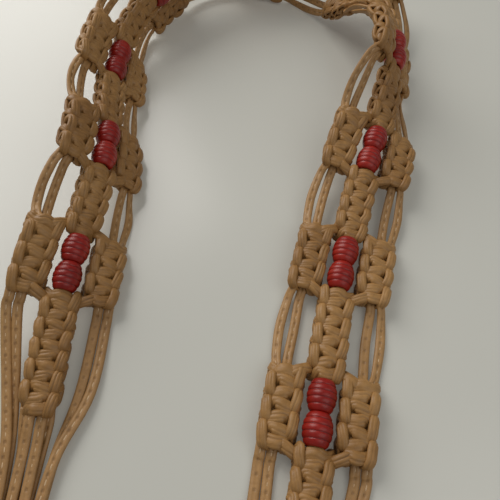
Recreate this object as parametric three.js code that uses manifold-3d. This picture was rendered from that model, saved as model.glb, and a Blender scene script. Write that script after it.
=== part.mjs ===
// Beaded belt knotted from eight flat leather cords. Ten pairs of ribbed wooden beads sit between
// two rows of square knots, with a centre row of square knots between one pair and the next. Both
// ends gather into a knot with short tails. It lies as an arch, both legs coming forward, partly
// flat and partly standing on its inner edge. Millimetres, +Z up, origin under its middle.
import * as THREE from 'three';
import { mergeVertices } from 'three/addons/utils/BufferGeometryUtils.js';
import Module from 'manifold-3d';

const wasm = await Module();
wasm.setup();

// Cord and beads
const cordWidth = 4.2;
const cordThickness = 2;
const beadDiameter = 12;
const beadEndDiameter = 7.6;
const beadLength = 12.05;
const grooveDepth = 0.55;
const ribCount = 3;
const beadGap = 1.1;
const beadEndGap = 0.45;
const roundness = 0.7;
const pairCount = 10;
const clearance = 0.3;

// Rows of square knots, called sinnets
const sinnetWidth = 15;
const sinnetThickness = 8;
const edgePinch = 1.4;
const barDent = 1.2;
const topShare = 0.92;
const endPitch = 4.15;
const sidePitch = 4.65;
const centreKnots = 9;
const sideKnots = 7;
const endKnots = 12;
const beadSideGap = 1.5;
const centreLift = 0.5;

// Free cords and gathered ends
const bow = 1.1;
const nip = 0.15;
const rim = 0.35;
const bury = 0.6;
const flattening = 0.1;
const gatherLength = 38;
const waist = 0.35;
const outerShares = { halfway: 0.5, waist: 0.85 };
const innerShares = { halfway: 0.2, waist: 0.75 };
const centreShare = 0.5;
const knotLength = 24;
const knotWidth = 26;
const knotHeight = 17;
const tailLength = 40;
const tailSpacing = 6.4;

// Mesh fineness
const beadSides = 10;
const coreSides = 6;
const knotSides = 8;
const finest = 0.04;

const beadRadius = beadDiameter / 2;
const coreRadius = cordThickness + clearance;
const boreRadius = (coreRadius + clearance) / Math.cos(Math.PI / beadSides);
const pairLength = 2 * beadLength + beadGap + 2 * beadEndGap;
const sideLength = sideKnots * sidePitch;
const sideAcross = beadRadius + beadSideGap + sinnetWidth / 2;
const sideUp = sinnetThickness / 2 - beadRadius;
const centreUp = sideUp + centreLift;
const flatUp = cordThickness / 2 - beadRadius;
const cordUp = flatUp + clearance;
const outerCord = sideAcross + sinnetWidth / 2 - cordWidth / 2 - rim;
const coreCord = outerCord - cordWidth - nip;
const innerCord = sideAcross - sinnetWidth / 2 + edgePinch + cordWidth / 2 + rim;
const layer = cordThickness + clearance;
const column = cordWidth + clearance + flattening * cordThickness;

// Where the belt lies: a point under the middle of each pair of beads and three beyond each end pair,
// from the right-hand end over the arch to the left-hand end. The rise is over the height of a bead on
// the table, and the lean is the angle by which the outer edge stands up, in degrees.
const route = [
  { x: -8, y: -142, rise: 0, lean: 0 },
  { x: 5, y: -78, rise: 0, lean: 0 },
  { x: 16, y: -14, rise: 0, lean: 0 },
  { x: 27, y: 46.5, rise: 0.1, lean: 0 },
  { x: 42, y: 112, rise: 1.2, lean: -2 },
  { x: 61, y: 173.5, rise: 8.9, lean: -14 },
  { x: 80, y: 237, rise: 19.5, lean: -62 },
  { x: 67, y: 299, rise: 16.6, lean: 16 },
  { x: 6, y: 323, rise: 18, lean: 95 },
  { x: -51, y: 296, rise: 18.7, lean: 95 },
  { x: -73, y: 231, rise: 17, lean: 60 },
  { x: -69.5, y: 169, rise: 17, lean: 55 },
  { x: -77, y: 107, rise: 10.5, lean: 30 },
  { x: -82, y: 44, rise: 1.3, lean: 4 },
  { x: -84, y: -20, rise: 0.1, lean: 0 },
  { x: -84, y: -85, rise: 0, lean: 0 },
];
const firstPairPoint = 3;

// Controls of an even cubic B-spline that passes through the values, found by closing in on them
function throughControls(values) {
  const controls = [...values];
  for (let round = 0; round < 40; round += 1) {
    for (let i = 1; i < values.length - 1; i += 1) {
      controls[i] += values[i] - (controls[i - 1] + 4 * controls[i] + controls[i + 1]) / 6;
    }
  }
  return controls;
}

// Middle line: its plan is the smoothest curve through the route, its height eases from point to point
class MiddleLine extends THREE.Curve {
  constructor(points) {
    super();
    this.last = points.length - 1;
    this.xs = throughControls(points.map((p) => p.x));
    this.ys = throughControls(points.map((p) => p.y));
    this.rises = new THREE.SplineCurve(points.map((p, i) => new THREE.Vector2(i, p.rise)));
  }

  plan(controls, t) {
    const i = Math.min(Math.floor(t * this.last), this.last - 1);
    const u = t * this.last - i;
    const b = controls[i];
    const c = controls[i + 1];
    const a = i > 0 ? controls[i - 1] : 2 * b - c;
    const d = i + 1 < this.last ? controls[i + 2] : 2 * c - b;
    const v = 1 - u;
    return (a * v ** 3 + b * (3 * u ** 3 - 6 * u ** 2 + 4) + c * (3 * v ** 3 - 6 * v ** 2 + 4)
      + d * u ** 3) / 6;
  }

  getPoint(t, target = new THREE.Vector3()) {
    const height = beadRadius + this.rises.getPoint(t).y;
    return target.set(this.plan(this.xs, t), this.plan(this.ys, t), height);
  }
}

const middle = new MiddleLine(route);
middle.arcLengthDivisions = 100 * (route.length - 1);
const leans = new THREE.SplineCurve(route.map((p, i) => new THREE.Vector2(i, p.lean)));
const pairAt = (pair) => middle.getLengths()[100 * (firstPairPoint + pair - 1)];

// Directions across, along and up from the belt at a distance from its first point
function frameAt(along) {
  const t = middle.getUtoTmapping(0, along);
  const forward = middle.getTangent(t);
  const side = new THREE.Vector3(forward.y, -forward.x, 0).normalize();
  const top = new THREE.Vector3().crossVectors(side, forward);
  const lean = THREE.MathUtils.degToRad(leans.getPoint(t).y);
  const across = side.multiplyScalar(Math.cos(lean)).addScaledVector(top, Math.sin(lean));
  const up = new THREE.Vector3().crossVectors(across, forward);
  return { centre: middle.getPoint(t), forward, across, up };
}

// A point of the belt, by its distances along, across and up from the middle line
function place(along, across, up) {
  const f = frameAt(along);
  return f.centre.addScaledVector(f.across, across).addScaledVector(f.up, up);
}

// Bend a unit shape: each corner goes where the rule sends its three unit coordinates
function bend(geometry, rule) {
  const corners = geometry.attributes.position;
  for (let i = 0; i < corners.count; i += 1) {
    const spot = rule(corners.getX(i), corners.getY(i) + 0.5, corners.getZ(i));
    const p = place(spot.along, spot.across, spot.up);
    corners.setXYZ(i, p.x, p.y, p.z);
  }
  return geometry;
}

// Closed mesh to solid, and the union of several back to one mesh
function solid(geometry) {
  const bare = geometry.clone();
  bare.deleteAttribute('normal');
  bare.deleteAttribute('uv');
  const merged = mergeVertices(bare, 1e-4);
  return new wasm.Manifold(new wasm.Mesh({
    numProp: 3,
    vertProperties: new Float32Array(merged.attributes.position.array),
    triVerts: new Uint32Array(merged.index.array),
  }));
}

function fuse(geometries) {
  const whole = geometries.map(solid).reduce((sum, next) => sum.add(next));
  const mesh = whole.simplify(finest).getMesh();
  const geometry = new THREE.BufferGeometry();
  geometry.setAttribute('position', new THREE.BufferAttribute(mesh.vertProperties, 3));
  geometry.setIndex(new THREE.BufferAttribute(mesh.triVerts, 1));
  geometry.computeVertexNormals();
  return geometry;
}

// Row of square knots: cross bars on top, and side loops that bulge by turns left and right
function sinnet(start, knots, pitch, across, up) {
  const rows = 2 * knots;
  const box = new THREE.BoxGeometry(1, 1, 1, 1, rows, 1);
  return bend(box, (x, y, z) => {
    const row = Math.round(y * rows);
    const onBar = row % 2 === 1;
    const atEnd = row === 0 || row === rows;
    const side = Math.sign(x);
    const bulges = atEnd ? side * across > 0 : (row % 4 === 2) === (side > 0);
    const pinch = onBar ? edgePinch / 3 : edgePinch * (bulges ? 0 : 1);
    const half = (sinnetWidth / 2 - pinch) * (z > 0 ? topShare : 1);
    const dent = z > 0 && !onBar ? barDent : 0;
    return {
      along: start + y * knots * pitch,
      across: across + side * half,
      up: up + z * sinnetThickness - dent,
    };
  });
}

// Flat cord through a few points; turn swings its width from across the belt to along it
function cord(points) {
  const steps = points.length - 1;
  const box = new THREE.BoxGeometry(1, 1, 1, 1, steps, 1);
  return bend(box, (x, y, z) => {
    const p = points[Math.round(y * steps)];
    const turn = p.turn ?? 0;
    return {
      along: p.along + x * cordWidth * Math.sin(turn),
      across: p.across + x * cordWidth * Math.cos(turn),
      up: p.up + z * cordThickness,
    };
  });
}

// The same cord run the other way along the belt keeps its faces outward when its points are turned
// round, so every cord is listed with its distance along the belt rising.
function rising(points) {
  return points[0].along < points[points.length - 1].along ? points : [...points].reverse();
}

const endReach = pairLength / 2 + endKnots * endPitch;
const mouthReach = endReach + gatherLength;

// Two cords of one side between its sinnet and the next: the core cord and the outer cord
function freeCords(pair, side) {
  const from = pairAt(pair) + sideLength / 2;
  const to = pairAt(pair + 1) - sideLength / 2 - clearance;
  const straight = side * coreCord;
  const bowed = side * outerCord;
  return [
    cord([
      { along: from - bury, across: straight, up: cordUp },
      { along: to, across: straight, up: cordUp },
    ]),
    cord([
      { along: from - bury, across: bowed, up: cordUp },
      { along: (from + to) / 2, across: bowed + side * bow, up: cordUp },
      { along: to, across: bowed, up: cordUp },
    ]),
  ];
}

// Two cords of one side from its last sinnet to the mouth of the end knot, one on the other there;
// the shares tell how far they have come to their place in the mouth
function endCords(pair, side, way) {
  const at = pairAt(pair);
  const shares = side > 0 ? outerShares : innerShares;
  const pulled = (across, share) => across * (1 - share) + 1.5 * column * share;
  const run = (across, swell, level) => cord(rising([
    { along: at + way * (sideLength / 2 - bury), across: side * across, up: cordUp },
    {
      along: at + way * (2 * endReach + sideLength) / 3,
      across: side * (pulled(across, shares.halfway) + swell * (1 - shares.halfway)),
      up: cordUp + level / 2,
    },
    {
      along: at + way * (endReach + gatherLength * waist),
      across: side * pulled(across, shares.waist),
      up: flatUp + level,
    },
    { along: at + way * (mouthReach - clearance), across: side * 1.5 * column, up: flatUp + level },
  ]));
  return [run(coreCord, 0, 0), run(outerCord, bow, layer)];
}

// Four cords of the centre from its last sinnet to the mouth of the end knot
function centreEndCords(pair, way) {
  const at = pairAt(pair);
  const run = (across, level) => cord(rising([
    { along: at + way * (endReach - bury), across, up: centreUp + level - layer },
    {
      along: at + way * (endReach + gatherLength * waist),
      across: across * (1 - centreShare) + Math.sign(across) * (column / 2) * centreShare,
      up: flatUp + level,
    },
    {
      along: at + way * (mouthReach - clearance),
      across: Math.sign(across) * column / 2,
      up: flatUp + level,
    },
  ]));
  const inner = column / 2;
  const outer = sinnetWidth / 2 - edgePinch - cordWidth / 2 + bury;
  return [run(-inner, layer), run(inner, layer), run(-outer, 0), run(outer, 0)];
}

// Cord that slants from the end of a side sinnet to the flank of the centre sinnet beyond the beads
function transfer(pair, side, way) {
  const end = pairAt(pair) + way * (sideLength / 2);
  const flank = sinnetWidth / 2 + clearance;
  const quarter = (way * side * Math.PI) / 2;
  return cord(rising([
    { along: end - way * bury, across: side * innerCord, up: cordUp, turn: 0 },
    { along: end + way * cordWidth, across: side * flank, up: centreUp, turn: quarter },
  ]));
}

// Core cords through the bores of one pair of beads, from sinnet to sinnet
function core(pair) {
  const at = pairAt(pair);
  const stops = [-pairLength / 2 - bury, 0, pairLength / 2 - clearance];
  const steps = stops.length - 1;
  const rod = new THREE.CylinderGeometry(coreRadius, coreRadius, 1, coreSides, steps);
  return bend(rod, (x, y, z) => ({ along: at + stops[Math.round(y * steps)], across: x, up: z }));
}

// Turned bead: a barrel of ribs and grooves round a bore
function beadGeometry() {
  const ends = beadEndDiameter / 2;
  const outline = [new THREE.Vector2(boreRadius, -beadLength / 2)];
  const turns = 2 * ribCount;
  for (let i = 0; i <= turns; i += 1) {
    const share = i / turns;
    const barrel = ends + (beadRadius - ends) * Math.sin(Math.PI * share) ** roundness;
    const inGroove = i % 2 === 0 && i > 0 && i < turns;
    const radius = barrel - (inGroove ? grooveDepth : 0);
    outline.push(new THREE.Vector2(radius, (share - 0.5) * beadLength));
  }
  outline.push(new THREE.Vector2(boreRadius, beadLength / 2), outline[0].clone());
  return new THREE.LatheGeometry(outline, beadSides);
}

// Gathered end: the knot's body, and eight flat tails that fan out on the table
function endKnot(pair, way) {
  const mouth = pairAt(pair) + way * mouthReach;
  const girth = [
    { wide: 0.75, high: 0.36 },
    { wide: 0.94, high: 0.9 },
    { wide: 1, high: 1 },
    { wide: 0.88, high: 0.86 },
    { wide: 0.75, high: 0.4 },
  ];
  const rows = girth.length - 1;
  const body = new THREE.CylinderGeometry(1, 1, 1, knotSides, rows);
  const low = flatUp - cordThickness / 2;
  bend(body, (x, y, z) => {
    const share = way > 0 ? y : 1 - y;
    const g = girth[Math.round(share * rows)];
    const high = (g.high * knotHeight) / 2;
    return {
      along: mouth + way * share * knotLength,
      across: (x * g.wide * knotWidth) / 2,
      up: low + high + z * high,
    };
  });
  const tails = [];
  for (const level of [0, 1]) {
    for (const slot of [-1.5, -0.5, 0.5, 1.5]) {
      const up = flatUp + level * layer;
      const shift = (level - 0.5) * (tailSpacing / 2);
      tails.push(cord(rising([
        { along: mouth + way * (knotLength - bury), across: slot * column, up },
        {
          along: mouth + way * (knotLength + tailLength),
          across: slot * tailSpacing + shift,
          up,
        },
      ])));
    }
  }
  return fuse([body, ...tails]);
}

const leather = new THREE.MeshStandardMaterial({ color: 0xa67f55, roughness: 0.55, metalness: 0 });
const redWood = new THREE.MeshStandardMaterial({ color: 0x9e2426, roughness: 0.28, metalness: 0 });

const belt = new THREE.Group();

function addMesh(name, geometry, material) {
  const mesh = new THREE.Mesh(geometry, material.clone());
  mesh.name = name;
  belt.add(mesh);
  return mesh;
}

const numbered = (name, number) => `${name}_${String(number).padStart(2, '0')}`;

// Beads of one pair, each on its straight half of the core
function addBeads(pair) {
  const at = pairAt(pair);
  for (const half of [0, 1]) {
    const from = place(at + (half - 1) * (pairLength / 2), 0, 0);
    const to = place(at + half * (pairLength / 2), 0, 0);
    const axis = to.clone().sub(from);
    const shift = (half === 0 ? -1 : 1) * (beadGap / 2 - pairLength / 4 + beadLength / 2);
    const mesh = addMesh(numbered('bead', 2 * pair - 1 + half), beadGeometry(), redWood);
    mesh.position.copy(from).lerp(to, 0.5).addScaledVector(axis.normalize(), shift);
    const across = frameAt(at).across;
    const up = new THREE.Vector3().crossVectors(across, axis).normalize();
    across.crossVectors(axis, up);
    mesh.quaternion.setFromRotationMatrix(new THREE.Matrix4().makeBasis(across, axis, up));
  }
}

// Side sinnet of one pair, with the cords that leave it
function addSide(pair, side, name) {
  const start = pairAt(pair) - sideLength / 2;
  const pieces = [
    sinnet(start, sideKnots, sidePitch, side * sideAcross, sideUp),
    transfer(pair, side, -1),
    transfer(pair, side, 1),
  ];
  if (pair === 1) {
    pieces.push(...endCords(pair, side, -1));
  }
  pieces.push(...(pair === pairCount ? endCords(pair, side, 1) : freeCords(pair, side)));
  addMesh(numbered(name, pair), fuse(pieces), leather);
}

// Centre sinnet before one pair of beads, or after the last pair, with its core and end cords
function addCentre(number) {
  const first = number === 1;
  const last = number === pairCount + 1;
  const knots = first || last ? endKnots : centreKnots;
  const start = first ? pairAt(1) - endReach : pairAt(number - 1) + pairLength / 2;
  const end = last ? pairAt(pairCount) + endReach : pairAt(number) - pairLength / 2;
  const pieces = [sinnet(start, knots, (end - start) / knots, 0, centreUp)];
  if (first) {
    pieces.push(...centreEndCords(1, -1));
  }
  pieces.push(...(last ? centreEndCords(pairCount, 1) : [core(number)]));
  addMesh(numbered('centre_sinnet', number), fuse(pieces), leather);
}

for (let pair = 1; pair <= pairCount; pair += 1) {
  addBeads(pair);
  addSide(pair, -1, 'inner_sinnet');
  addSide(pair, 1, 'outer_sinnet');
}
for (let number = 1; number <= pairCount + 1; number += 1) {
  addCentre(number);
}
addMesh('right_end_knot', endKnot(1, -1), leather);
addMesh('left_end_knot', endKnot(pairCount, 1), leather);

// Origin under the middle of the whole belt, on the table
belt.updateMatrixWorld(true);
const bounds = new THREE.Box3().setFromObject(belt, true);
const centre = bounds.getCenter(new THREE.Vector3());
belt.position.set(-centre.x, -centre.y, -bounds.min.z);
belt.updateMatrixWorld(true);

export default belt;
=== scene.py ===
# Looks of a beaded belt knotted from eight flat leather cords, with pairs of ribbed wooden beads.
# All shapes are laid out flat, in millimetres across, along and up from the belt's middle line, and
# then bent onto the route that the belt takes over the table.
import math

import bpy
import numpy as np
from mathutils import Matrix, Vector


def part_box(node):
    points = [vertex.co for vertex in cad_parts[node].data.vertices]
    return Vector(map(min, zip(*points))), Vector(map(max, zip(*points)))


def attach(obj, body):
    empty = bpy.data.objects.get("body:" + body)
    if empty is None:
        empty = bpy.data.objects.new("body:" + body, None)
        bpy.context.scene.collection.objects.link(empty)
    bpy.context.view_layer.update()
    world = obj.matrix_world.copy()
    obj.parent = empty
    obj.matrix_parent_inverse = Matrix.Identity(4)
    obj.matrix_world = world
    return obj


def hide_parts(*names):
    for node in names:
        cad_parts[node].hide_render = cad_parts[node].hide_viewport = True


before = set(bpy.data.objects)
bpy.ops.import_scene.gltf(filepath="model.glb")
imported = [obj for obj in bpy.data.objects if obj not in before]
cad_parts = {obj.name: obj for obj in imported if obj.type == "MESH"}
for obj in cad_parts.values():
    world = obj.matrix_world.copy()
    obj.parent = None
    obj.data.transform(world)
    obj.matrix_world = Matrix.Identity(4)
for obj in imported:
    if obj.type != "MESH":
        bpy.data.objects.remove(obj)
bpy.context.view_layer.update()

MM = 0.001
rng = np.random.default_rng(8)

# Sizes in millimetres: cord, beads and rows of square knots
CORD_WIDTH = 4.2
CORD_THICKNESS = 2.0
BEAD_RADIUS = 6.0
BEAD_LENGTH = 12.05
BEAD_GAP = 1.1
BEAD_END_GAP = 0.45
BEAD_END_RADIUS = 3.4
BORE_RADIUS = 2.0
RIB_COUNT = 5
RIB_HEIGHT = 0.22
GROOVE_DEPTH = 0.24
GROOVE_SHARE = 0.2
BEAD_STEPS = 12 * RIB_COUNT
BEAD_SIDES = 36
PAIR_COUNT = 10
SINNET_WIDTH = 15.0
EDGE_PINCH = 1.4
END_PITCH = 4.15
SIDE_PITCH = 4.65
CENTRE_KNOTS = 9
SIDE_KNOTS = 7
END_KNOTS = 12
HEART_WIDTH = 9.6
HEART_THICKNESS = 4.2

# Free cords, gathered ends and end knots
BOW = 1.1
COLUMN = 4.7
LAYER = 2.3
GATHER_LENGTH = 38.0
WAIST = 0.35
OUTER_SHARES = (0.5, 0.85)
INNER_SHARES = (0.2, 0.75)
KNOT_LENGTH = 24.0
KNOT_HEIGHT = 17.0
TAIL_LENGTH = 40.0
TAIL_SPACING = 6.4
SLOTS = (-1.5, -0.5, 0.5, 1.5)

# Seam of the free cords
FIRST_STITCH = 2.6
STITCH_LENGTH = 3.2
STITCH_PITCH = 5.4

# Lengths along the belt
PAIR_LENGTH = 2 * BEAD_LENGTH + BEAD_GAP + 2 * BEAD_END_GAP
SIDE_LENGTH = SIDE_KNOTS * SIDE_PITCH
END_REACH = PAIR_LENGTH / 2 + END_KNOTS * END_PITCH
MOUTH_REACH = END_REACH + GATHER_LENGTH

# Places across the belt and up from its middle line
SIDE_ACROSS = 15.0
SIDE_UP = -2.0
CENTRE_UP = -1.5
FLAT_UP = -5.0
CORD_UP = -4.7
OUTER_CORD = 20.05
CORE_CORD = 15.7

# Route of the middle line: x, y, rise over a bead's height, and lean in degrees
ROUTE = [
    (-8, -142, 0, 0),
    (5, -78, 0, 0),
    (16, -14, 0, 0),
    (27, 46.5, 0.1, 0),
    (42, 112, 1.2, -2),
    (61, 173.5, 8.9, -14),
    (80, 237, 19.5, -62),
    (67, 299, 16.6, 16),
    (6, 323, 18, 95),
    (-51, 296, 18.7, 95),
    (-73, 231, 17, 60),
    (-69.5, 169, 17, 55),
    (-77, 107, 10.5, 30),
    (-82, 44, 1.3, 4),
    (-84, -20, 0.1, 0),
    (-84, -85, 0, 0),
]
FIRST_PAIR_POINT = 3
SPANS = len(ROUTE) - 1
STEPS_PER_SPAN = 100


def through_controls(values):
    """Controls of an even cubic B-spline that passes through the values."""
    controls = [float(v) for v in values]
    for _ in range(40):
        for i in range(1, len(values) - 1):
            near = (controls[i - 1] + 4 * controls[i] + controls[i + 1]) / 6
            controls[i] += values[i] - near
    first = 2 * controls[0] - controls[1]
    last = 2 * controls[-1] - controls[-2]
    return np.array([first] + controls + [last])


PLAN_X = through_controls([p[0] for p in ROUTE])
PLAN_Y = through_controls([p[1] for p in ROUTE])
RISES = np.array([p[2] for p in ROUTE], float)
LEANS = np.radians([p[3] for p in ROUTE])


def plan(controls, t):
    """One coordinate of the route's plan at shares t of the whole."""
    i = np.minimum(np.floor(t * SPANS).astype(int), SPANS - 1)
    u = t * SPANS - i
    v = 1 - u
    a, b, c, d = (controls[i + k] for k in range(4))
    near_b = 3 * u**3 - 6 * u**2 + 4
    near_c = 3 * v**3 - 6 * v**2 + 4
    return (a * v**3 + b * near_b + c * near_c + d * u**3) / 6


def catmull_rom(a, b, c, d, u):
    """The smooth curve from b to c at the share u, with a before and d after them."""
    first, second = (c - a) / 2, (d - b) / 2
    cube = (2 * b - 2 * c + first + second) * u**3
    return cube + (-3 * b + 3 * c - 2 * first - second) * u**2 + first * u + b


def eased(values, t):
    """A value that eases from point to point of the route, at shares t of the whole."""
    i = np.minimum(np.floor(t * SPANS).astype(int), SPANS - 1)
    u = t * SPANS - i
    before = values[np.maximum(i - 1, 0)]
    after = values[np.minimum(i + 2, SPANS)]
    return catmull_rom(before, values[i], values[i + 1], after, u)


def middle(t):
    """The belt's middle line at shares t of the route."""
    return np.stack([plan(PLAN_X, t), plan(PLAN_Y, t), BEAD_RADIUS + eased(RISES, t)], axis=-1)


TABLE_T = np.linspace(0, 1, SPANS * STEPS_PER_SPAN + 1)
TABLE_STEPS = np.linalg.norm(np.diff(middle(TABLE_T), axis=0), axis=1)
TABLE_LENGTH = np.concatenate([[0], np.cumsum(TABLE_STEPS)])


def unit(v):
    return v / np.maximum(np.linalg.norm(v, axis=-1, keepdims=True), 1e-9)


def frame_at(along):
    """Centre and the directions across, forward and up at distances along the belt."""
    t = np.interp(along, TABLE_LENGTH, TABLE_T)
    before, after = np.clip(t - 1e-4, 0, 1), np.clip(t + 1e-4, 0, 1)
    forward = unit(middle(after) - middle(before))
    side = unit(np.stack([forward[..., 1], -forward[..., 0], np.zeros_like(t)], axis=-1))
    top = np.cross(side, forward)
    lean = eased(LEANS, t)[..., None]
    across = side * np.cos(lean) + top * np.sin(lean)
    return middle(t), across, forward, np.cross(across, forward)


def pair_at(pair):
    """Distance along the belt of the middle of a pair of beads."""
    return TABLE_LENGTH[STEPS_PER_SPAN * (FIRST_PAIR_POINT + pair - 1)]


def bead_axis(pair, half):
    """Middle and direction of the bead on one straight half of a pair's core."""
    at = pair_at(pair)
    ends = np.array([at + (half - 1) * PAIR_LENGTH / 2, at + half * PAIR_LENGTH / 2])
    points = frame_at(ends)[0]
    axis = unit(points[1] - points[0])
    shift = (1 if half else -1) * (BEAD_GAP / 2 - PAIR_LENGTH / 4 + BEAD_LENGTH / 2)
    return points.mean(axis=0) + axis * shift, axis


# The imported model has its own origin, and its beads tell how far that is from the route's
offsets = []
for k in range(2 * PAIR_COUNT):
    low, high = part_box(f"bead_{k + 1:02d}")
    box_middle = (np.array(low) + np.array(high)) / 2
    offsets.append(box_middle - bead_axis(k // 2 + 1, k % 2)[0] * MM)
SHIFT = np.mean(offsets, axis=0)


def place(points):
    """Points across, along and up from the middle line, to metres in the model's frame."""
    centre, across, _, up = frame_at(points[:, 1])
    bent = centre + across * points[:, 0:1] + up * points[:, 2:3]
    return bent * MM + SHIFT


def new_piece(name, points, faces, material, **values):
    """A smooth mesh with a number of each kind for every point."""
    mesh = bpy.data.meshes.new(name)
    mesh.from_pydata(points.tolist(), [], faces)
    mesh.polygons.foreach_set("use_smooth", [True] * len(mesh.polygons))
    for kind, numbers in values.items():
        layer = mesh.attributes.new(kind, "FLOAT", "POINT")
        layer.data.foreach_set("value", numbers.astype(np.float32))
    mesh.materials.append(material)
    mesh.update()
    piece = bpy.data.objects.new(name, mesh)
    bpy.context.scene.collection.objects.link(piece)
    return piece


class Sweeps:
    """Closed tubes gathered into one mesh. Each point has a crease shade (how much painted shade it
    gets from lying in a groove), a run (its distance along the cord) and a seam (its distance from the
    middle of a stitched face)."""

    def __init__(self):
        self.points, self.faces = [], []
        self.creases, self.runs, self.seams = [], [], []
        self.count = 0

    def add(self, rings, crease, run, seam=None):
        """Add one tube from its rings of points, closed at both ends."""
        n, m, _ = rings.shape
        points = rings.reshape(-1, 3)
        i, j = np.meshgrid(np.arange(n - 1), np.arange(m), indexing="ij")
        k = (j + 1) % m
        quads = np.stack([i * m + j, i * m + k, (i + 1) * m + k, (i + 1) * m + j], axis=-1)
        quads = quads.reshape(-1, 4)
        a, b, c = (points[quads[:, q]] for q in range(3))
        outward = np.einsum("ij,ij->", a, np.cross(b, c)) < 0
        faces = [list(q[::-1] if outward else q) for q in (quads + self.count)]
        first = list(range(self.count, self.count + m))
        last = list(range(self.count + (n - 1) * m, self.count + n * m))
        faces.append(first if outward else first[::-1])
        faces.append(last[::-1] if outward else last)
        self.points.append(points)
        self.faces += faces
        self.creases.append(crease.reshape(-1))
        self.runs.append(np.repeat(run, m))
        self.seams.append(np.ones(n * m) if seam is None else seam.reshape(-1))
        self.count += n * m

    def build(self, name, material):
        return new_piece(
            name,
            place(np.concatenate(self.points)),
            self.faces,
            material,
            crease=np.concatenate(self.creases),
            run=np.concatenate(self.runs),
            seam=np.concatenate(self.seams),
        )


# Section of a folded flat cord: places across its outer face, then across its inner one
OUTER_U = np.array([-1, -0.94, -0.8, -0.62, -0.48, -0.37, -0.26, -0.1, 0.06,
                    0.2, 0.32, 0.44, 0.6, 0.78, 0.93, 1])
INNER_U = np.array([0.8, 0.0, -0.8])

# Rings from one key of a cord's path to the next
KNOT_STEPS = 3
TRANSFER_STEPS = 5
STRAP_STEPS = 6
LOOP_STEPS = 7


def smooth_path(keys, per_span):
    """Catmull-Rom curve through the keys, with the same number of steps in each span."""
    keys = np.asarray(keys, float)
    ext = np.concatenate([[2 * keys[0] - keys[1]], keys, [2 * keys[-1] - keys[-2]]])
    out = []
    u = np.arange(per_span)[:, None] / per_span
    for i in range(len(keys) - 1):
        out.append(catmull_rom(*ext[i : i + 4], u))
    out.append(keys[-1:])
    return np.concatenate(out)


def wander(n, knots, amount):
    """A smooth random wave of n values."""
    knots = max(int(knots), 2)
    values = rng.normal(0, amount, knots)
    return np.interp(np.linspace(0, knots - 1, n), np.arange(knots), values)


def lengths_along(path):
    """Distance of each point from the first one along the path."""
    return np.concatenate([[0], np.cumsum(np.linalg.norm(np.diff(path, axis=0), axis=1))])


# Grooves of a cord's outer face: place, sway of the place, half width and depth, as shares of the half
# width and of the thickness. A seam and one fold on a cord that runs free, two folds on a knotted one.
SEAM_GROOVES = ((0.0, 0.03, 0.2, 0.24), (0.68, 0.04, 0.08, 0.14))
FOLD_GROOVES = ((0.32, 0.16, 0.11, 0.22), (-0.36, 0.14, 0.10, 0.16))


def sweep(target, path, normals, width, thickness, stitched=False, ridges=1.0):
    """A folded flat cord along the path, its outer face turned to the normals. Its ridges are
    the share of the usual depth that its grooves have."""
    n = len(path)
    tangent = unit(np.gradient(path, axis=0))
    side = unit(np.cross(tangent, normals))
    out = np.cross(side, tangent)
    width = np.broadcast_to(width, n)
    thickness = np.broadcast_to(thickness, n)
    spots = n / 9 + 2
    grooves = [
        (spot + wander(n, spots, sway), reach, depth)
        for spot, sway, reach, depth in (SEAM_GROOVES if stitched else FOLD_GROOVES)
    ]
    u = np.broadcast_to(OUTER_U, (n, len(OUTER_U)))
    crown = (1 - np.abs(u) ** (3.2 if stitched else 2.3)) ** 0.5
    groove = np.zeros_like(u)
    for centre, reach, depth in grooves:
        deep = depth * ridges * np.clip(1 + wander(n, spots, 0.3), 0.4, 1.6)
        groove = groove + deep[:, None] * np.exp(-(((u - centre[:, None]) / reach) ** 2))
    outer = crown - groove * crown
    inner = np.broadcast_to(-((1 - np.abs(INNER_U) ** 3) ** 0.5), (n, len(INNER_U)))
    us = np.concatenate([u, np.broadcast_to(INNER_U, (n, len(INNER_U)))], axis=1)
    vs = np.concatenate([outer, inner], axis=1)
    # Painted shade: the deeper a point lies in a groove, the darker its colour is painted, and the
    # inner face gets a little painted shade too
    dark = 0.35 if stitched else 0.7
    crease = np.concatenate([groove * dark, np.full_like(inner, 0.1)], axis=1)
    rings = (
        path[:, None, :]
        + side[:, None, :] * (us * width[:, None] / 2)[..., None]
        + out[:, None, :] * (vs * thickness[:, None] / 2)[..., None]
    )
    seam = np.concatenate([np.abs(u), np.ones_like(inner)], axis=1) if stitched else None
    target.add(rings, crease, lengths_along(path), seam)


# One turn of a knotting cord, from the end of a cross bar on its own face, round the edge, along the
# edge of the other face and back inside to the next bar. Columns: distance along in half knots from
# this bar, distance across, height from the row's middle, outward direction (three), width and puff.
TURN = np.array([
    [0.12, 2.8, 2.75, 0.05, 0.00, 1.00, 1.26, 1.25],
    [0.08, 4.9, 1.70, 0.30, 0.00, 1.00, 1.10, 1.05],
    [-0.14, 6.5, 0.60, 1.00, -0.10, 0.55, 0.96, 0.95],
    [-0.36, 6.9, -1.20, 1.00, -0.50, -0.40, 0.98, 1.00],
    [-0.30, 6.0, -2.80, 0.45, -0.40, -1.00, 1.00, 1.20],
    [0.36, 5.7, -3.30, 0.24, 0.00, -1.00, 1.02, 1.35],
    [1.04, 5.2, -3.10, 0.16, 0.25, -1.00, 1.00, 1.20],
    [1.42, 4.4, -1.80, 0.20, 1.00, -0.60, 0.98, 1.00],
    [1.28, 3.6, 0.50, 0.40, 0.80, 0.60, 0.98, 1.00],
    [0.90, 2.4, 2.75, 0.00, 0.10, 1.00, 1.26, 1.25],
])
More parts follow.
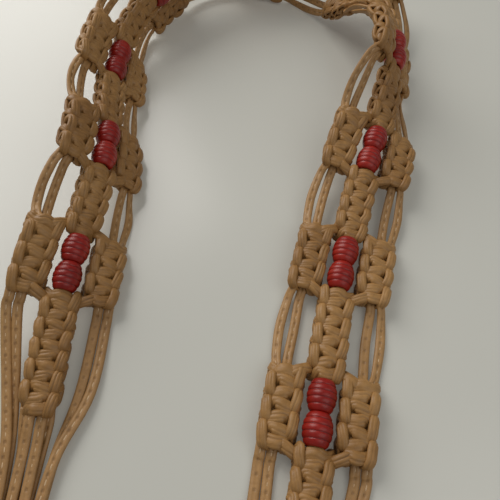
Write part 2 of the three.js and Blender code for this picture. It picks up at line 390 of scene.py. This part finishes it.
# How the first bar begins and the last bar ends: bent inwards and tucked under the edge
TUCK = np.array([
    [0.80, 2.8, -2.40, 0.10, 0.00, -1.00, 0.80, 0.90],
    [0.86, 4.8, -2.00, 0.60, 0.30, -1.00, 0.84, 0.90],
    [0.72, 6.1, -0.20, 1.00, -0.30, 0.10, 0.92, 0.95],
    [0.30, 4.6, 1.80, 0.45, -0.25, 1.00, 1.12, 1.10],
])
# Middle of a cross bar, and how much the keys of a turn stray along, across and in height
BAR_MIDDLE = [0.0, 0.0, 3.00, 0.0, 0.0, 1.0, 1.30, 1.65]
TURN_SHAKE = (0.025, 0.12, 0.10)


def knot_row(target, start, knots, pitch, across, up, first_side, way):
    """Square knots: one cord crosses on top each time, the other below, and they hook at the edges."""
    length = knots * pitch
    shares = np.linspace(0.04, 0.96, 2 * knots)
    heart = np.array([(across, start + share * length, up) for share in shares])
    flat = np.broadcast_to([0.0, 0.0, 1.0], heart.shape)
    sweep(target, heart, flat, HEART_WIDTH, HEART_THICKNESS, ridges=0.0)
    for face in (1, -1):
        rows = []
        side = face * first_side
        for i in range(knots):
            s = i + 0.5
            if i == 0:
                for r in TUCK:
                    rows.append((s + r[0], -side * r[1], r[2], -side * r[3], *r[4:]))
            crown = BAR_MIDDLE[2] + rng.normal(0, 0.12)
            puff = BAR_MIDDLE[7] + rng.normal(0, 0.06)
            rows.append((s + rng.normal(0, 0.03), 0.0, crown, *BAR_MIDDLE[3:7], puff))
            turn = TURN
            if i == knots - 1:
                turn = TUCK[::-1] * (-1, 1, 1, 1, -1, 1, 1, 1)
            shake = rng.normal(0, 1, (len(turn), 3)) * TURN_SHAKE
            for r, (ds, dx, dz) in zip(turn, shake):
                rows.append((s + r[0] + ds, side * (r[1] + dx), r[2] + dz, side * r[3], *r[4:]))
            side = -side
        fine = smooth_path(rows, KNOT_STEPS)
        along = fine[:, 0] * pitch
        if way < 0:
            along = length - along
        path = np.column_stack([across + fine[:, 1], start + along, up + face * fine[:, 2]])
        normals = unit(np.column_stack([fine[:, 3], way * fine[:, 4], face * fine[:, 5]]))
        sweep(target, path, normals, fine[:, 6] * CORD_WIDTH, fine[:, 7] * CORD_THICKNESS)


def strap(target, keys, ups=None, stitched=True, width=CORD_WIDTH):
    """A free flat cord through the keys; ups gives its outer face where it isn't simply up."""
    path = smooth_path(keys, STRAP_STEPS)
    if ups is None:
        normals = np.broadcast_to([0.0, 0.0, 1.0], path.shape)
    else:
        normals = unit(smooth_path(ups, STRAP_STEPS))
    sweep(target, path, normals, width, CORD_THICKNESS, stitched)
    return path, normals


def stitches(target, path, normals):
    """Short thread dashes along the middle of a free cord, whose ends dip into it."""
    lengths = lengths_along(path)
    lift = np.array([0.40, 0.66, 0.72, 0.72, 0.66, 0.40])
    size = np.array([0.10, 0.24, 0.27, 0.27, 0.24, 0.10])
    turn = np.linspace(0, 2 * math.pi, 7)[:-1]
    at = FIRST_STITCH
    while at + STITCH_LENGTH < lengths[-1] - 1:
        s = at + np.linspace(0, STITCH_LENGTH, 6)
        points = np.column_stack([np.interp(s, lengths, path[:, k]) for k in range(3)])
        ups = unit(np.column_stack([np.interp(s, lengths, normals[:, k]) for k in range(3)]))
        tangent = unit(np.gradient(points, axis=0))
        side = unit(np.cross(tangent, ups))
        rings = (
            points[:, None, :]
            + ups[:, None, :] * (lift[:, None] + 0.55 * size[:, None] * np.sin(turn))[..., None]
            + side[:, None, :] * (1.2 * size[:, None] * np.cos(turn))[..., None]
        )
        target.add(rings, np.zeros((6, 6)), s)
        at += STITCH_PITCH


def free_cords(cords, threads, pair, side):
    """The two cords of one side between its row of knots and the next."""
    start = pair_at(pair) + SIDE_LENGTH / 2
    end = pair_at(pair + 1) - SIDE_LENGTH / 2
    span = end - start
    x = side * CORE_CORD
    path, ups = strap(cords, [
        (x - side * 0.4, start - 3.0, -2.2),
        (x - side * 0.2, start + 0.6, -2.9),
        (x, start + 4.5, -4.3),
        (x + rng.normal(0, 0.2), start + span / 2, CORD_UP),
        (x, end - 4.5, -4.3),
        (x - side * 0.2, end - 0.6, -2.9),
        (x - side * 0.4, end + 3.0, -2.2),
    ])
    stitches(threads, path, ups)
    x = side * OUTER_CORD
    tilt = side * 0.45
    tilted = (tilt, 0, 1)
    path, ups = strap(cords, [
        (x - side * 1.6, start - 3.2, -2.9),
        (x - side * 0.3, start + 0.4, -3.2),
        (x + side * 0.7, start + 5.0, -4.3),
        (x + side * (BOW + 0.5) + rng.normal(0, 0.3), start + span / 2, CORD_UP),
        (x + side * 0.7, end - 5.0, -4.2),
        (x - side * 0.3, end - 0.4, -2.2),
        (x - side * 1.8, end + 2.6, 0.2),
        (x - side * 2.4, end + 4.4, -1.6),
    ], [tilted, tilted, tilted, (0, 0, 1), tilted, tilted, tilted, (2 * tilt, 0, 1)])
    stitches(threads, path, ups)


def transfer(cords, pair, side, way):
    """The cord that slants from a side row of knots to the middle row beyond the beads."""
    end = pair_at(pair) + way * SIDE_LENGTH / 2
    keys = [
        (side * 14.4, end - way * 3.4, -0.6),
        (side * 12.6, end - way * 2.4, 0.8),
        (side * 10.4, end - way * 1.2, 1.0),
        (side * 8.3, end - way * 0.1, 0.4),
        (side * 6.6, end + way * 0.7, -0.6),
        (side * 5.0, end + way * 1.2, -1.8),
    ]
    leaning = (side * 0.3, 0, 1)
    ups = [(0, 0, 1), leaning, leaning, leaning, (0, 0, 1), (0, 0, 1)]
    path = smooth_path(keys, TRANSFER_STEPS)
    normals = unit(smooth_path(ups, TRANSFER_STEPS))
    sweep(cords, path, normals, 1.1 * CORD_WIDTH, 1.4 * CORD_THICKNESS)


def pulled(across, share):
    """Distance across of a side cord that has gone a share of the way to its place in the mouth."""
    return across * (1 - share) + 1.5 * COLUMN * share


def gathered(cords, threads, pair, way):
    """All eight cords from the last rows of knots into the mouth of the end knot."""
    at = pair_at(pair)
    levels = [(CORE_CORD, 0, 0), (OUTER_CORD, BOW, LAYER)]
    narrow = END_REACH + GATHER_LENGTH * WAIST
    halfway = at + way * (2 * END_REACH + SIDE_LENGTH) / 3
    for side in (-1, 1):
        shares = OUTER_SHARES if side > 0 else INNER_SHARES
        for across, swell, level in levels:
            x = side * across
            halfway_x = side * (pulled(across, shares[0]) + swell * (1 - shares[0]))
            waist_x = side * pulled(across, shares[1])
            keys = [
                (x, at + way * (SIDE_LENGTH / 2 - 3), -2.6),
                (x, at + way * (SIDE_LENGTH / 2 + 2), -3.2),
                (x, at + way * (SIDE_LENGTH / 2 + 8), CORD_UP),
                (halfway_x, halfway, CORD_UP + level / 2),
                (waist_x, at + way * narrow, FLAT_UP + level),
                (side * 1.5 * COLUMN, at + way * MOUTH_REACH, FLAT_UP + level),
                (side * 1.2 * COLUMN, at + way * (MOUTH_REACH + 6), FLAT_UP + level + 3),
            ]
            path, ups = strap(cords[side], keys)
            stitches(threads[side], path, ups)
        inner = COLUMN / 2
        outer = SINNET_WIDTH / 2 - EDGE_PINCH - CORD_WIDTH / 2 + 0.6
        for across, level in ((inner, LAYER), (outer, 0)):
            x = side * across
            keys = [
                (x, at + way * (END_REACH - 3), CENTRE_UP),
                (x, at + way * (END_REACH + 3), CENTRE_UP + (level - LAYER) * 0.8),
                (side * (across / 2 + COLUMN / 4), at + way * narrow, FLAT_UP + level),
                (side * COLUMN / 2, at + way * MOUTH_REACH, FLAT_UP + level),
                (side * COLUMN / 2.4, at + way * (MOUTH_REACH + 6), FLAT_UP + level + 3),
            ]
            path, ups = strap(cords[0], keys)
            stitches(threads[0], path, ups)


def end_knot(cords, threads, pair, way):
    """One plain knot of all the cords, and their eight flat tails on the table."""
    mouth = pair_at(pair) + way * MOUTH_REACH
    low = FLAT_UP - CORD_THICKNESS / 2
    loop = [
        (0, -2, 2.4), (-2.5, 4, 3.2), (-6, 10, 4), (-3.5, 17.5, 5),
        (3.5, 18.5, 8), (7.6, 13, 10.6), (5.4, 6.5, 13.2), (-1.5, 6.5, 14.0),
        (-7.6, 10.5, 11.2), (-6.5, 16.5, 6.5), (-1, 19.5, 4), (0, 26, 2.4),
    ]
    knot_middle = np.array([1.0, 12.0, 7.5])
    path = smooth_path(loop, LOOP_STEPS)
    out = unit(path - knot_middle)
    tangent = unit(np.gradient(path, axis=0))
    side = unit(np.cross(tangent, out))
    out = np.cross(side, tangent)
    for lane in SLOTS:
        fan = 3.1 * lane
        drop = -0.16 * lane**2
        line = path + side * fan + out * drop
        line[:, 2] = np.clip(line[:, 2], 1.1, KNOT_HEIGHT - 1.0)
        line[:, 0] = np.clip(line[:, 0], -12, 12)
        spots = np.column_stack([line[:, 0], mouth + way * line[:, 1], low + line[:, 2]])
        ups = np.column_stack([out[:, 0], way * out[:, 1], out[:, 2]])
        sweep(cords, spots, ups, CORD_WIDTH * 0.95, CORD_THICKNESS * 1.3)
    core = np.array([(0.0, mouth + way * y, low + 9.2) for y in np.linspace(3.5, 20.5, 8)])
    girth = np.array([6, 11, 14, 15, 15, 14, 11, 6.0])
    sweep(cords, core, np.broadcast_to([0.0, 0.0, 1.0], core.shape), girth, 0.88 * girth)

    def beyond(reach):
        """Distance along the belt of what lies this far out from the knot's end."""
        return mouth + way * (KNOT_LENGTH + reach)

    for level in (0, 1):
        for slot in SLOTS:
            up = FLAT_UP + level * LAYER
            tip = slot * TAIL_SPACING + (level - 0.5) * TAIL_SPACING / 2
            root = slot * COLUMN
            wave = rng.normal(0, 0.5, 2)
            keys = [
                (root * 0.5, beyond(-6), up + 2.0),
                (root, beyond(-0.6), up),
                (root + (tip - root) / 3 + wave[0], beyond(TAIL_LENGTH / 3), up),
                (root + (tip - root) / 1.5 + wave[1], beyond(TAIL_LENGTH / 1.5), up),
                (tip, beyond(TAIL_LENGTH), up),
            ]
            line, ups = strap(cords, keys)
            stitches(threads, line, ups)


# Materials


def nodes_of(name):
    """A new material, its tree and its shader."""
    material = bpy.data.materials.new(name)
    material.use_nodes = True
    tree = material.node_tree
    return material, tree, tree.nodes["Principled BSDF"]


def add(tree, kind, **values):
    """A new node, with its inputs or settings by name."""
    node = tree.nodes.new(kind)
    for key, value in values.items():
        if key in node.inputs:
            node.inputs[key].default_value = value
        else:
            setattr(node, key, value)
    return node


def noise(tree, scale, detail, rough=0.55):
    where = add(tree, "ShaderNodeTexCoord")
    node = add(tree, "ShaderNodeTexNoise", Scale=scale, Detail=detail, Roughness=rough)
    tree.links.new(where.outputs["Object"], node.inputs["Vector"])
    return node.outputs["Fac"]


def ramp(tree, value, stops):
    """Colours that change with the value, from stop to stop."""
    node = add(tree, "ShaderNodeValToRGB")
    elements = node.color_ramp.elements
    while len(elements) < len(stops):
        elements.new(0.5)
    for element, (position, colour) in zip(elements, stops):
        element.position = position
        element.color = (*colour, 1)
    tree.links.new(value, node.inputs["Fac"])
    return node.outputs["Color"]


def mix(tree, factor, first, second, blend="MIX"):
    """The first colour with the factor's share of the second."""
    node = add(tree, "ShaderNodeMix", data_type="RGBA", blend_type=blend)
    if isinstance(factor, float):
        node.inputs[0].default_value = factor
    else:
        tree.links.new(factor, node.inputs[0])
    for slot, value in ((6, first), (7, second)):
        if isinstance(value, tuple):
            node.inputs[slot].default_value = (*value, 1)
        else:
            tree.links.new(value, node.inputs[slot])
    return node.outputs[2]


def span(tree, value, low, high, to_low, to_high):
    """The value, taken from the range low to high to the other range."""
    node = add(tree, "ShaderNodeMapRange")
    tree.links.new(value, node.inputs["Value"])
    for key, number in (("From Min", low), ("From Max", high), ("To Min", to_low), ("To Max", to_high)):
        node.inputs[key].default_value = number
    return node.outputs["Result"]


def attribute(tree, name):
    node = add(tree, "ShaderNodeAttribute")
    node.attribute_name = name
    return node.outputs["Fac"]


def bump(tree, shader, layers):
    """Relief from several heights, each with its strength and depth in metres."""
    last = None
    for height, strength, distance in layers:
        node = add(tree, "ShaderNodeBump")
        node.inputs["Strength"].default_value = strength
        node.inputs["Distance"].default_value = distance
        tree.links.new(height, node.inputs["Height"])
        if last is not None:
            tree.links.new(last, node.inputs["Normal"])
        last = node.outputs["Normal"]
    tree.links.new(last, shader.inputs["Normal"])


def maths(tree, operation, first, second=0.0):
    node = add(tree, "ShaderNodeMath", operation=operation)
    tree.links.new(first, node.inputs[0])
    if isinstance(second, float):
        node.inputs[1].default_value = second
    else:
        tree.links.new(second, node.inputs[1])
    return node.outputs[0]


def stitch_holes(tree):
    """One where the thread dips into the cord between two stitches, and less round it: a mask for the
    dents and for the painted shade in them.
    """
    middle_of_gap = FIRST_STITCH - (STITCH_PITCH - STITCH_LENGTH) / 2
    from_gap = maths(tree, "SUBTRACT", attribute(tree, "run"), middle_of_gap)
    turns = maths(tree, "DIVIDE", from_gap, STITCH_PITCH)
    phase = maths(tree, "FRACT", maths(tree, "ADD", turns, 0.5))
    away = maths(tree, "ABSOLUTE", maths(tree, "SUBTRACT", phase, 0.5))
    lengthwise = span(tree, away, 0.06, 0.17, 1.0, 0.0)
    crosswise = span(tree, attribute(tree, "seam"), 0.12, 0.42, 1.0, 0.0)
    return maths(tree, "MULTIPLY", lengthwise, crosswise)


def leather_material():
    material, tree, shader = nodes_of("tan_leather")
    broad = noise(tree, 22.0, 3.0)
    mottled = noise(tree, 320.0, 5.0, 0.6)
    grain = noise(tree, 1500.0, 3.0, 0.6)
    tone = ramp(tree, broad, [
        (0.30, (0.29, 0.145, 0.045)),
        (0.52, (0.365, 0.193, 0.063)),
        (0.72, (0.45, 0.252, 0.092)),
    ])
    free = span(tree, attribute(tree, "seam"), 0.9, 1.0, 0.4, 0.0)
    tone = mix(tree, free, tone, (0.53, 0.315, 0.140))
    speck = ramp(tree, mottled, [(0.35, (0.86, 0.84, 0.82)), (0.65, (1.06, 1.05, 1.04))])
    tone = mix(tree, 1.0, tone, speck, "MULTIPLY")
    # Painted shade: the colour is painted darker the deeper a point lies in a groove between or along
    # the cords
    deep = span(tree, attribute(tree, "crease"), 0.06, 0.34, 0.0, 0.7)
    holes = stitch_holes(tree)
    # Painted shade in the stitch holes too, mixed with the grooves' painted shade towards a dark brown
    shade = maths(tree, "MAXIMUM", deep, maths(tree, "MULTIPLY", holes, 0.34))
    tone = mix(tree, shade, tone, (0.105, 0.044, 0.013))
    tree.links.new(tone, shader.inputs["Base Color"])
    tree.links.new(span(tree, mottled, 0.3, 0.7, 0.38, 0.54), shader.inputs["Roughness"])
    shader.inputs["Specular IOR Level"].default_value = 0.42
    wrinkle = noise(tree, 420.0, 4.0, 0.6)
    sunk = maths(tree, "SUBTRACT", wrinkle, holes)
    bump(tree, shader, [(sunk, 0.4, 0.0004), (grain, 0.25, 0.0001)])
    return material


def thread_material():
    material, tree, shader = nodes_of("pale_thread")
    twist = noise(tree, 2600.0, 2.0)
    tone = ramp(tree, twist, [(0.3, (0.50, 0.33, 0.18)), (0.7, (0.74, 0.54, 0.33))])
    tree.links.new(tone, shader.inputs["Base Color"])
    shader.inputs["Roughness"].default_value = 0.7
    bump(tree, shader, [(twist, 0.5, 0.0001)])
    return material


def bead_material():
    material, tree, shader = nodes_of("red_painted_wood")
    broad = noise(tree, 60.0, 3.0)
    grain = noise(tree, 700.0, 5.0, 0.65)
    tone = ramp(tree, broad, [
        (0.30, (0.215, 0.008, 0.005)),
        (0.50, (0.315, 0.012, 0.007)),
        (0.70, (0.41, 0.024, 0.013)),
    ])
    speck = ramp(tree, grain, [(0.32, (0.86, 0.84, 0.84)), (0.6, (1.03, 1.03, 1.03))])
    tone = mix(tree, 1.0, tone, speck, "MULTIPLY")
    # Painted shade: the grooves, flat ends and bore are painted a darker red-brown
    deep = span(tree, attribute(tree, "crease"), 0.15, 0.9, 0.0, 0.8)
    tone = mix(tree, deep, tone, (0.10, 0.006, 0.008))
    tree.links.new(tone, shader.inputs["Base Color"])
    tree.links.new(span(tree, grain, 0.3, 0.7, 0.30, 0.46), shader.inputs["Roughness"])
    shader.inputs["Specular IOR Level"].default_value = 0.4
    shader.inputs["Coat Weight"].default_value = 0.12
    shader.inputs["Coat Roughness"].default_value = 0.2
    bump(tree, shader, [(grain, 0.18, 0.0002)])
    return material


leather = leather_material()
thread = thread_material()
red_wood = bead_material()


def bead(name, pair, half):
    """Turned barrel bead: five soft ribs, four grooves and rounded ends round a bore."""
    centre, axis = bead_axis(pair, half)
    across = frame_at(np.array([pair_at(pair)]))[1][0]
    up = unit(np.cross(across, axis))
    across = np.cross(axis, up)
    length = BEAD_LENGTH + 0.9
    centre = centre + axis * (0.1 if half == 0 else -0.1)
    share = np.linspace(-1, 1, BEAD_STEPS + 1)
    barrel = BEAD_END_RADIUS + (BEAD_RADIUS - BEAD_END_RADIUS) * np.cos(share * math.pi / 2) ** 0.54
    wave = np.abs(np.cos(share * RIB_COUNT * math.pi / 2))
    groove = np.exp(-((wave / GROOVE_SHARE) ** 2)) * (np.abs(share) < 0.9)
    radius = barrel - RIB_HEIGHT * (1 - wave) * (np.abs(share) < 0.8) - GROOVE_DEPTH * groove
    height = share * length / 2
    rim = BORE_RADIUS + 0.6
    radius = np.concatenate([[BORE_RADIUS, rim], radius, [rim, BORE_RADIUS, BORE_RADIUS]])
    height = np.concatenate([[-length / 2 + 0.5, -length / 2 + 0.08], height,
                             [length / 2 - 0.08, length / 2 - 0.5, 0]])
    # Painted shade: the grooves, the flat ends and the bore are marked to be painted darker
    hollow_shade = np.concatenate([[1, 0.8], groove, [0.8, 1, 1]])
    turn = np.linspace(0, 2 * math.pi, BEAD_SIDES + 1)[:-1]
    rings = (
        centre
        + across * (radius[:, None] * np.cos(turn))[..., None]
        + up * (radius[:, None] * np.sin(turn))[..., None]
        + axis * height[:, None, None]
    )
    n, m = len(radius), BEAD_SIDES
    points = rings.reshape(-1, 3) * MM + SHIFT
    i, j = np.meshgrid(np.arange(n), np.arange(m), indexing="ij")
    i_next, j_next = (i + 1) % n, (j + 1) % m
    quads = np.stack([i * m + j, i * m + j_next, i_next * m + j_next, i_next * m + j], axis=-1)
    quads = quads.reshape(-1, 4)
    a, b, c = (points[quads[:, q]] - points.mean(axis=0) for q in range(3))
    if np.einsum("ij,ij->", a, np.cross(b, c)) < 0:
        quads = quads[:, ::-1]
    return new_piece(name, points, quads.tolist(), red_wood, crease=np.repeat(hollow_shade, m))


def keep(piece, slot, *nodes):
    """Put a piece on the belt's body and in the place of its CAD nodes, which it hides. The slot is not
    used.
    """
    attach(piece, "root")
    if nodes:
        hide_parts(*nodes)


def finish_cords(cords, threads, label, node):
    """Cords that take the place of a CAD node, and the threads on them."""
    keep(cords.build(f"{label}_cords", leather), "leather_cord", node)
    if threads.count:
        keep(threads.build(f"{label}_stitches", thread), "leather_cord")


def tied(number):
    """Way in which the knots were tied: from the belt's middle towards each end."""
    return -1 if number <= PAIR_COUNT / 2 + 1 else 1


# Side rows of knots with the cords that leave them
gather_cords = {}
for pair, way in ((1, -1), (PAIR_COUNT, 1)):
    gather_cords[pair] = (
        {side: Sweeps() for side in (-1, 0, 1)},
        {side: Sweeps() for side in (-1, 0, 1)},
    )
    gathered(*gather_cords[pair], pair, way)

for pair in range(1, PAIR_COUNT + 1):
    for half in (0, 1):
        number = 2 * pair - 1 + half
        keep(bead(f"bead_turned_{number:02d}", pair, half), "painted_wood", f"bead_{number:02d}")
    for side, label in ((-1, "inner"), (1, "outer")):
        ends = gather_cords.get(pair)
        cords = ends[0][side] if ends else Sweeps()
        threads = ends[1][side] if ends else Sweeps()
        knot_row(cords, pair_at(pair) - SIDE_LENGTH / 2, SIDE_KNOTS, SIDE_PITCH,
                 side * SIDE_ACROSS, SIDE_UP, side, tied(pair))
        transfer(cords, pair, side, -1)
        transfer(cords, pair, side, 1)
        if pair < PAIR_COUNT:
            free_cords(cords, threads, pair, side)
        finish_cords(cords, threads, f"{label}_{pair:02d}", f"{label}_sinnet_{pair:02d}")

# Middle rows of knots with the core cords through the beads
for number in range(1, PAIR_COUNT + 2):
    edge = {1: 1, PAIR_COUNT + 1: PAIR_COUNT}.get(number)
    cords = gather_cords[edge][0][0] if edge else Sweeps()
    threads = gather_cords[edge][1][0] if edge else Sweeps()
    knots = END_KNOTS if edge else CENTRE_KNOTS
    start = pair_at(number - 1) + PAIR_LENGTH / 2 if number > 1 else pair_at(1) - END_REACH
    end = pair_at(number) - PAIR_LENGTH / 2 if number <= PAIR_COUNT else pair_at(PAIR_COUNT) + END_REACH
    knot_row(cords, start, knots, (end - start) / knots, 0, CENTRE_UP, 1, tied(number))
    if number <= PAIR_COUNT:
        at = pair_at(number)
        for side in (-1, 1):
            strap(cords, [
                (side * 1.2, at - PAIR_LENGTH / 2 - 5, -1.0),
                (side * 0.85, at - PAIR_LENGTH / 2, -0.3),
                (side * 0.8, at, 0),
                (side * 0.85, at + PAIR_LENGTH / 2, -0.3),
                (side * 1.2, at + PAIR_LENGTH / 2 + 5, -1.0),
            ], stitched=False, width=1.7)
    finish_cords(cords, threads, f"centre_{number:02d}", f"centre_sinnet_{number:02d}")

for pair, way, label in ((1, -1, "right_end"), (PAIR_COUNT, 1, "left_end")):
    cords, threads = Sweeps(), Sweeps()
    end_knot(cords, threads, pair, way)
    finish_cords(cords, threads, label, f"{label}_knot")

# Table, camera and lights


def table_material():
    material, tree, shader = nodes_of("pale_table")
    tone = ramp(tree, noise(tree, 3.0, 2.0), [(0.3, (0.53, 0.53, 0.485)), (0.7, (0.565, 0.565, 0.52))])
    tree.links.new(tone, shader.inputs["Base Color"])
    shader.inputs["Roughness"].default_value = 0.24
    shader.inputs["Specular IOR Level"].default_value = 0.5
    # Painted light: the table glows faintly by itself, lifting the shade under and beside the belt
    shader.inputs["Emission Color"].default_value = (0.62, 0.60, 0.54, 1)
    shader.inputs["Emission Strength"].default_value = 0.12
    return material


bpy.ops.mesh.primitive_grid_add(x_subdivisions=4, y_subdivisions=4, size=6, location=(0, 0.6, 0))
table = bpy.context.object
table.name = "table"
table.data.materials.append(table_material())

ELEVATION = math.radians(58.7)
ROLL = math.radians(0.13)
CAMERA_HEIGHT = 203.6
forward = Vector((0, math.cos(ELEVATION), -math.sin(ELEVATION)))
level = Vector((1, 0, 0))
upright = Vector((0, math.sin(ELEVATION), math.cos(ELEVATION)))
right = math.cos(ROLL) * level + math.sin(ROLL) * upright
upward = -math.sin(ROLL) * level + math.cos(ROLL) * upright
camera_data = bpy.data.cameras.new("camera")
camera_data.sensor_width = 36
camera_data.lens = 36
camera_data.clip_start = 0.01
camera = bpy.data.objects.new("camera", camera_data)
place_of_camera = Vector((0, 0, CAMERA_HEIGHT * MM)) + Vector(SHIFT)
turn = Matrix((right, upward, -forward)).transposed().to_4x4()
camera.matrix_world = Matrix.Translation(place_of_camera) @ turn
bpy.context.scene.collection.objects.link(camera)
bpy.context.scene.camera = camera


def area_light(name, spot, target, size, power, colour):
    """A square light at the spot, turned to the target."""
    data = bpy.data.lights.new(name, "AREA")
    data.size = size
    data.energy = power
    data.color = colour
    light = bpy.data.objects.new(name, data)
    light.location = spot
    aim = Vector(target) - Vector(spot)
    light.rotation_euler = aim.to_track_quat("-Z", "Y").to_euler()
    bpy.context.scene.collection.objects.link(light)


area_light("window", (-0.75, 0.95, 0.95), (0, 0, 0), size=1.1, power=16, colour=(1.0, 0.97, 0.93))
area_light("fill", (0.7, -0.5, 1.1), (0, 0, 0), size=1.2, power=4.4, colour=(1.0, 0.97, 0.92))
world = bpy.data.worlds.new("studio")
world.use_nodes = True
world.node_tree.nodes["Background"].inputs["Color"].default_value = (0.74, 0.76, 0.75, 1)
world.node_tree.nodes["Background"].inputs["Strength"].default_value = 0.25
bpy.context.scene.world = world
bpy.context.scene.view_settings.view_transform = "Standard"
